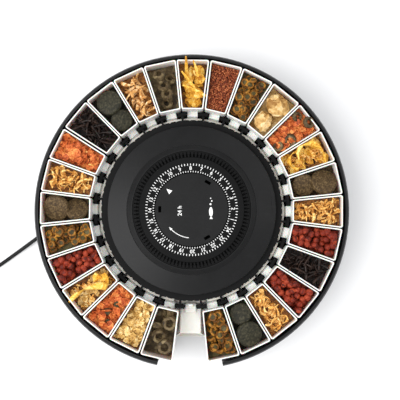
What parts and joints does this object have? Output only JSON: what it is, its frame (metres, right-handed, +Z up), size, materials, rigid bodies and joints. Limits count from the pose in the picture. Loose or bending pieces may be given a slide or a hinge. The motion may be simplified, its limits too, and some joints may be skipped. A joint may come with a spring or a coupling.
{
  "type": "automatic fish feeder",
  "caption": "Round aquarium feeder: a carousel of hinged food cups round a hub with a timer dial; each cup tips at a drop gap in the wall.",
  "frame": {"origin": "centre of the base's underside", "axes": "+Z up through the dial; the drop gap faces -Y; the supply cord leaves towards -X"},
  "size_m": [0.3863, 0.3045, 0.074],
  "materials": {
    "wall_black": "satin moulded ABS",
    "base_black": "fine matt moulded ABS",
    "cup_white": "smooth slightly translucent polypropylene",
    "hub_black": "fine spark-eroded matt ABS",
    "dial_black": "matt ABS with printed white scale",
    "carousel_black": "satin acetal",
    "gear_white": "acetal",
    "track_white": "smooth polypropylene",
    "pad_rubber": "soft rubber",
    "screw_steel": "zinc plated",
    "motor_steel": "drawn steel can",
    "switch_black": "glass-filled nylon",
    "terminal_white": "polyamide",
    "cord_black": "smooth PVC sheath",
    "plug_black": "moulded PVC",
    "pin_brass": "nickel-plated brass"
  },
  "bodies": {
    "base": {"outer_wall": "wall_black", "base_plate": "base_black", "bottom_cover": "base_black", "rubber_pads": "pad_rubber", "cover_screws": "screw_steel", "inner_drum": "base_black", "track_shelf": "track_white", "cam_rail": "track_white", "cord_gland": "cord_black", "inner_lead": "cord_black", "cord_clamp": "base_black", "terminal_block": "terminal_white", "hub_cover": "hub_black", "face_plate": "hub_black", "central_column": "base_black", "chassis_plate": "base_black", "timer_motor": "motor_steel", "carousel_motor": "motor_steel", "microswitches": "switch_black", "mains_cord": "cord_black", "cord_tail": "cord_black", "cord_coil": "cord_black", "cord_tie": "plug_black", "plug_body": "plug_black", "plug_pins": "pin_brass"},
    "carousel": {"carousel_ring": "carousel_black", "hinge_posts": "carousel_black"},
    "dial": {"dial_ring": "dial_black", "switch_tabs": "dial_black", "dial_gear": "gear_white"},
    "drive_pinion": {"carousel_pinion": "gear_white"},
    "clock_pinion": {"timer_pinion": "gear_white"},
    "cup_00": {"cup_00": "cup_white"},
    "cup_01": {"cup_01": "cup_white"},
    "cup_02": {"cup_02": "cup_white"},
    "cup_03": {"cup_03": "cup_white"},
    "cup_04": {"cup_04": "cup_white"},
    "cup_05": {"cup_05": "cup_white"},
    "cup_06": {"cup_06": "cup_white"},
    "cup_07": {"cup_07": "cup_white"},
    "cup_08": {"cup_08": "cup_white"},
    "cup_09": {"cup_09": "cup_white"},
    "cup_10": {"cup_10": "cup_white"},
    "cup_11": {"cup_11": "cup_white"},
    "cup_12": {"cup_12": "cup_white"},
    "cup_13": {"cup_13": "cup_white"},
    "cup_14": {"cup_14": "cup_white"},
    "cup_15": {"cup_15": "cup_white"},
    "cup_16": {"cup_16": "cup_white"},
    "cup_17": {"cup_17": "cup_white"},
    "cup_18": {"cup_18": "cup_white"},
    "cup_19": {"cup_19": "cup_white"},
    "cup_20": {"cup_20": "cup_white"},
    "cup_21": {"cup_21": "cup_white"},
    "cup_22": {"cup_22": "cup_white"},
    "cup_23": {"cup_23": "cup_white"},
    "cup_24": {"cup_24": "cup_white"},
    "cup_25": {"cup_25": "cup_white"},
    "cup_26": {"cup_26": "cup_white"},
    "cup_27": {"cup_27": "cup_white"}
  },
  "joints": [
    {"name": "carousel_turn", "type": "hinge", "parent": "base", "child": "carousel", "pos_m": [0, 0, 0.058], "axis": [0, 0, 1], "continuous": true},
    {"name": "dial_turn", "type": "hinge", "parent": "base", "child": "dial", "pos_m": [0, 0, 0.07], "axis": [0, 0, 1], "continuous": true},
    {"name": "drive_pinion_turn", "type": "hinge", "parent": "base", "child": "drive_pinion", "pos_m": [0.03792, 0.03182, 0.058], "axis": [0, 0, 1], "continuous": true},
    {"name": "clock_pinion_turn", "type": "hinge", "parent": "base", "child": "clock_pinion", "pos_m": [-0.03947, 0.01436, 0.06], "axis": [0, 0, 1], "continuous": true},
    {"name": "cup_00_tip", "type": "hinge", "parent": "carousel", "child": "cup_00", "pos_m": [0, -0.0788, 0.052], "axis": [-1, 0, 0], "range_deg": [0, 80]},
    {"name": "cup_01_tip", "type": "hinge", "parent": "carousel", "child": "cup_01", "pos_m": [0.01753, -0.07682, 0.052], "axis": [-0.9749, -0.2225, 0], "range_deg": [0, 3]},
    {"name": "cup_02_tip", "type": "hinge", "parent": "carousel", "child": "cup_02", "pos_m": [0.03419, -0.071, 0.052], "axis": [-0.901, -0.4339, 0], "range_deg": [0, 3]},
    {"name": "cup_03_tip", "type": "hinge", "parent": "carousel", "child": "cup_03", "pos_m": [0.04913, -0.06161, 0.052], "axis": [-0.7818, -0.6235, 0], "range_deg": [0, 3]},
    {"name": "cup_04_tip", "type": "hinge", "parent": "carousel", "child": "cup_04", "pos_m": [0.06161, -0.04913, 0.052], "axis": [-0.6235, -0.7818, 0], "range_deg": [0, 3]},
    {"name": "cup_05_tip", "type": "hinge", "parent": "carousel", "child": "cup_05", "pos_m": [0.071, -0.03419, 0.052], "axis": [-0.4339, -0.901, 0], "range_deg": [0, 3]},
    {"name": "cup_06_tip", "type": "hinge", "parent": "carousel", "child": "cup_06", "pos_m": [0.07682, -0.01753, 0.052], "axis": [-0.2225, -0.9749, 0], "range_deg": [0, 3]},
    {"name": "cup_07_tip", "type": "hinge", "parent": "carousel", "child": "cup_07", "pos_m": [0.0788, 0, 0.052], "axis": [0, -1, 0], "range_deg": [0, 3]},
    {"name": "cup_08_tip", "type": "hinge", "parent": "carousel", "child": "cup_08", "pos_m": [0.07682, 0.01753, 0.052], "axis": [0.2225, -0.9749, 0], "range_deg": [0, 3]},
    {"name": "cup_09_tip", "type": "hinge", "parent": "carousel", "child": "cup_09", "pos_m": [0.071, 0.03419, 0.052], "axis": [0.4339, -0.901, 0], "range_deg": [0, 3]},
    {"name": "cup_10_tip", "type": "hinge", "parent": "carousel", "child": "cup_10", "pos_m": [0.06161, 0.04913, 0.052], "axis": [0.6235, -0.7818, 0], "range_deg": [0, 3]},
    {"name": "cup_11_tip", "type": "hinge", "parent": "carousel", "child": "cup_11", "pos_m": [0.04913, 0.06161, 0.052], "axis": [0.7818, -0.6235, 0], "range_deg": [0, 3]},
    {"name": "cup_12_tip", "type": "hinge", "parent": "carousel", "child": "cup_12", "pos_m": [0.03419, 0.071, 0.052], "axis": [0.901, -0.4339, 0], "range_deg": [0, 3]},
    {"name": "cup_13_tip", "type": "hinge", "parent": "carousel", "child": "cup_13", "pos_m": [0.01753, 0.07682, 0.052], "axis": [0.9749, -0.2225, 0], "range_deg": [0, 3]},
    {"name": "cup_14_tip", "type": "hinge", "parent": "carousel", "child": "cup_14", "pos_m": [0, 0.0788, 0.052], "axis": [1, 0, 0], "range_deg": [0, 3]},
    {"name": "cup_15_tip", "type": "hinge", "parent": "carousel", "child": "cup_15", "pos_m": [-0.01753, 0.07682, 0.052], "axis": [0.9749, 0.2225, 0], "range_deg": [0, 3]},
    {"name": "cup_16_tip", "type": "hinge", "parent": "carousel", "child": "cup_16", "pos_m": [-0.03419, 0.071, 0.052], "axis": [0.901, 0.4339, 0], "range_deg": [0, 3]},
    {"name": "cup_17_tip", "type": "hinge", "parent": "carousel", "child": "cup_17", "pos_m": [-0.04913, 0.06161, 0.052], "axis": [0.7818, 0.6235, 0], "range_deg": [0, 3]},
    {"name": "cup_18_tip", "type": "hinge", "parent": "carousel", "child": "cup_18", "pos_m": [-0.06161, 0.04913, 0.052], "axis": [0.6235, 0.7818, 0], "range_deg": [0, 3]},
    {"name": "cup_19_tip", "type": "hinge", "parent": "carousel", "child": "cup_19", "pos_m": [-0.071, 0.03419, 0.052], "axis": [0.4339, 0.901, 0], "range_deg": [0, 3]},
    {"name": "cup_20_tip", "type": "hinge", "parent": "carousel", "child": "cup_20", "pos_m": [-0.07682, 0.01753, 0.052], "axis": [0.2225, 0.9749, 0], "range_deg": [0, 3]},
    {"name": "cup_21_tip", "type": "hinge", "parent": "carousel", "child": "cup_21", "pos_m": [-0.0788, 0, 0.052], "axis": [0, 1, 0], "range_deg": [0, 3]},
    {"name": "cup_22_tip", "type": "hinge", "parent": "carousel", "child": "cup_22", "pos_m": [-0.07682, -0.01753, 0.052], "axis": [-0.2225, 0.9749, 0], "range_deg": [0, 3]},
    {"name": "cup_23_tip", "type": "hinge", "parent": "carousel", "child": "cup_23", "pos_m": [-0.071, -0.03419, 0.052], "axis": [-0.4339, 0.901, 0], "range_deg": [0, 3]},
    {"name": "cup_24_tip", "type": "hinge", "parent": "carousel", "child": "cup_24", "pos_m": [-0.06161, -0.04913, 0.052], "axis": [-0.6235, 0.7818, 0], "range_deg": [0, 3]},
    {"name": "cup_25_tip", "type": "hinge", "parent": "carousel", "child": "cup_25", "pos_m": [-0.04913, -0.06161, 0.052], "axis": [-0.7818, 0.6235, 0], "range_deg": [0, 3]},
    {"name": "cup_26_tip", "type": "hinge", "parent": "carousel", "child": "cup_26", "pos_m": [-0.03419, -0.071, 0.052], "axis": [-0.901, 0.4339, 0], "range_deg": [0, 3]},
    {"name": "cup_27_tip", "type": "hinge", "parent": "carousel", "child": "cup_27", "pos_m": [-0.01753, -0.07682, 0.052], "axis": [-0.9749, 0.2225, 0], "range_deg": [0, 3]}
  ],
  "couplings": [
    {"joint": "drive_pinion_turn", "follows": "carousel_turn", "ratio": 6.5},
    {"joint": "clock_pinion_turn", "follows": "dial_turn", "ratio": -6}
  ]
}
